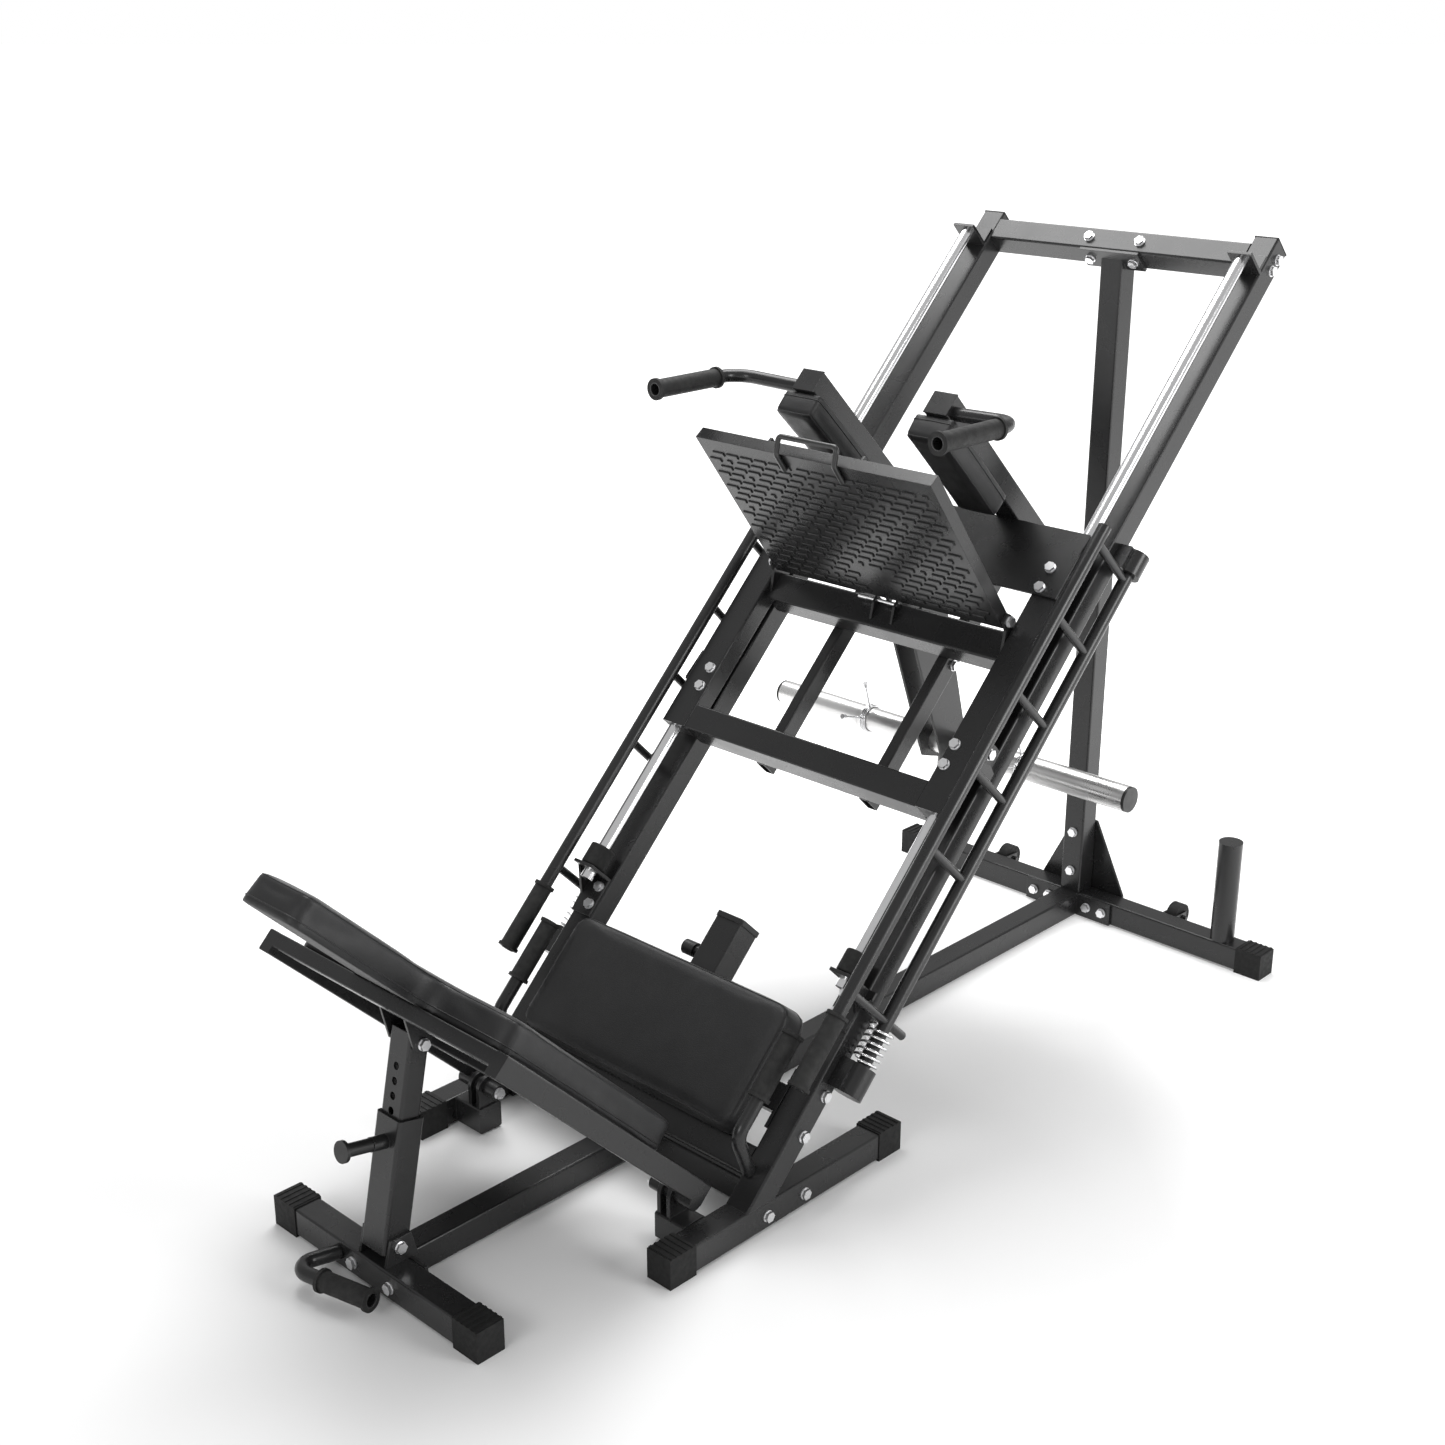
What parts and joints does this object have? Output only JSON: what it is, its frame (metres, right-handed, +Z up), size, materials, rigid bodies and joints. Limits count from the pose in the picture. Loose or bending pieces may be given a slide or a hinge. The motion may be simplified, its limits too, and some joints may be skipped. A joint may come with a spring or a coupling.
{
  "type": "leg press and hack squat machine",
  "caption": "Incline sled machine: a carriage on chrome rods with a folding footplate and shoulder pads, a seat with a tilting backrest, swing-out safety ladders and weight horns.",
  "frame": {"origin": "on the floor, at the centre of the machine's overall length and width", "axes": "+X to the machine's right side as seen from the backrest end, +Y from the backrest to the tower, +Z up"},
  "size_m": [0.954, 2.1586, 1.4988],
  "materials": {
    "frame_paint": "satin black powder coat",
    "tread_paint": "black powder coat over a raised tread",
    "rubber": "matt black rubber",
    "chrome": "bright hard chrome",
    "horn_steel": "brushed plated steel",
    "zinc": "bright zinc plate",
    "vinyl": "black upholstery vinyl",
    "plywood": "board covered in black cloth",
    "bushing_plastic": "black moulded plastic",
    "knob_plastic": "black moulded knob"
  },
  "bodies": {
    "frame": {"accessory_socket": "frame_paint", "base_beam": "frame_paint", "cross_tubes": "frame_paint", "end_caps": "rubber", "frame_bolts": "zinc", "front_stabilizer": "frame_paint", "guide_rods": "chrome", "handle_grips": "rubber", "handle_tubes": "frame_paint", "ladder_bearings": "frame_paint", "ladder_springs": "chrome", "post_foot_bracket": "frame_paint", "rail_left": "frame_paint", "rail_right": "frame_paint", "rear_gusset": "frame_paint", "rear_stabilizer": "frame_paint", "rear_upright": "frame_paint", "rod_brackets": "frame_paint", "rod_bumpers": "rubber", "seat_board": "plywood", "seat_pad": "vinyl", "side_bases": "frame_paint", "storage_posts": "frame_paint", "top_crossbar": "frame_paint", "wheel_brackets": "frame_paint"},
    "carriage": {"carriage_members": "frame_paint", "rod_bushings": "bushing_plastic", "upper_plate": "frame_paint", "carriage_cross_tubes": "frame_paint", "carriage_ribs": "frame_paint", "horn_brackets": "frame_paint", "weight_horn": "horn_steel", "horn_caps": "bushing_plastic", "safety_catches": "frame_paint", "shoulder_arms": "frame_paint", "shoulder_pad_left": "vinyl", "shoulder_pad_right": "vinyl", "shoulder_handles": "frame_paint", "shoulder_grips": "rubber", "footplate_hinges": "frame_paint", "carriage_bolts": "zinc"},
    "footplate": {"footplate": "tread_paint", "footplate_handle": "chrome"},
    "latch_pin": {"latch_pin": "chrome"},
    "ladder_left": {"ladder_left": "frame_paint", "ladder_grip_left": "rubber"},
    "ladder_right": {"ladder_right": "frame_paint", "ladder_grip_right": "rubber"},
    "backrest": {"backrest_board": "plywood", "backrest_pad": "vinyl", "backrest_frame": "frame_paint", "backrest_bolts": "zinc"},
    "post_sleeve": {"post_sleeve": "frame_paint"},
    "post_inner": {"post_inner": "frame_paint"},
    "post_pin": {"post_pin": "knob_plastic"},
    "socket_pin": {"socket_pin": "knob_plastic"},
    "collar_left": {"collar_left": "chrome"},
    "collar_right": {"collar_right": "chrome"},
    "wheel_left": {"wheel_left": "rubber"},
    "wheel_right": {"wheel_right": "rubber"}
  },
  "joints": [
    {"name": "carriage_slide", "type": "slide", "parent": "frame", "child": "carriage", "axis": [0, 0.7071, 0.7071], "range_m": [-0.2725, 0.55]},
    {"name": "ladder_left_swing", "type": "hinge", "parent": "frame", "child": "ladder_left", "pos_m": [-0.369, 0.161, 0.58383], "axis": [0, -0.7071, -0.7071], "range_deg": [-5, 35], "stiffness_Nm_per_rad": 9},
    {"name": "ladder_right_swing", "type": "hinge", "parent": "frame", "child": "ladder_right", "pos_m": [0.369, 0.161, 0.58383], "axis": [0, 0.7071, 0.7071], "range_deg": [-5, 35], "stiffness_Nm_per_rad": 9},
    {"name": "footplate_fold", "type": "hinge", "parent": "carriage", "child": "footplate", "pos_m": [0, 0.29323, 0.89284], "axis": [1, 0, 0], "range_deg": [0, 95]},
    {"name": "backrest_tilt", "type": "hinge", "parent": "frame", "child": "backrest", "pos_m": [0, -0.51287, 0.08956], "axis": [1, 0, 0], "range_deg": [-6, 9]},
    {"name": "post_swing", "type": "hinge", "parent": "frame", "child": "post_sleeve", "pos_m": [0, -0.91424, 0.083], "axis": [1, 0, 0], "range_deg": [-6, 9]},
    {"name": "post_slide", "type": "slide", "parent": "post_sleeve", "child": "post_inner", "axis": [0, 0.2084, 0.978], "range_m": [-0.065, 0.045]},
    {"name": "post_pin_pull", "type": "slide", "parent": "post_sleeve", "child": "post_pin", "axis": [0, -0.978, 0.2084], "range_m": [0, 0.012], "stiffness_N_per_m": 900, "springref_m": -0.004},
    {"name": "socket_pin_pull", "type": "slide", "parent": "frame", "child": "socket_pin", "axis": [-1, 0, 0], "range_m": [0, 0.012], "stiffness_N_per_m": 900, "springref_m": -0.004},
    {"name": "latch_pull", "type": "slide", "parent": "carriage", "child": "latch_pin", "axis": [-1, 0, 0], "range_m": [0, 0.034], "stiffness_N_per_m": 300, "springref_m": -0.004},
    {"name": "collar_left_slide", "type": "slide", "parent": "carriage", "child": "collar_left", "axis": [-1, 0, 0], "range_m": [0, 0.2]},
    {"name": "collar_right_slide", "type": "slide", "parent": "carriage", "child": "collar_right", "axis": [1, 0, 0], "range_m": [0, 0.2]},
    {"name": "wheel_left_spin", "type": "hinge", "parent": "frame", "child": "wheel_left", "pos_m": [-0.226, 1.05027, 0.038], "axis": [1, 0, 0], "continuous": true},
    {"name": "wheel_right_spin", "type": "hinge", "parent": "frame", "child": "wheel_right", "pos_m": [0.226, 1.05027, 0.038], "axis": [1, 0, 0], "continuous": true}
  ],
  "couplings": [
    {"joint": "post_swing", "follows": "backrest_tilt", "ratio": 0.74962},
    {"joint": "post_slide", "follows": "backrest_tilt", "m_per_rad": -0.39292}
  ]
}
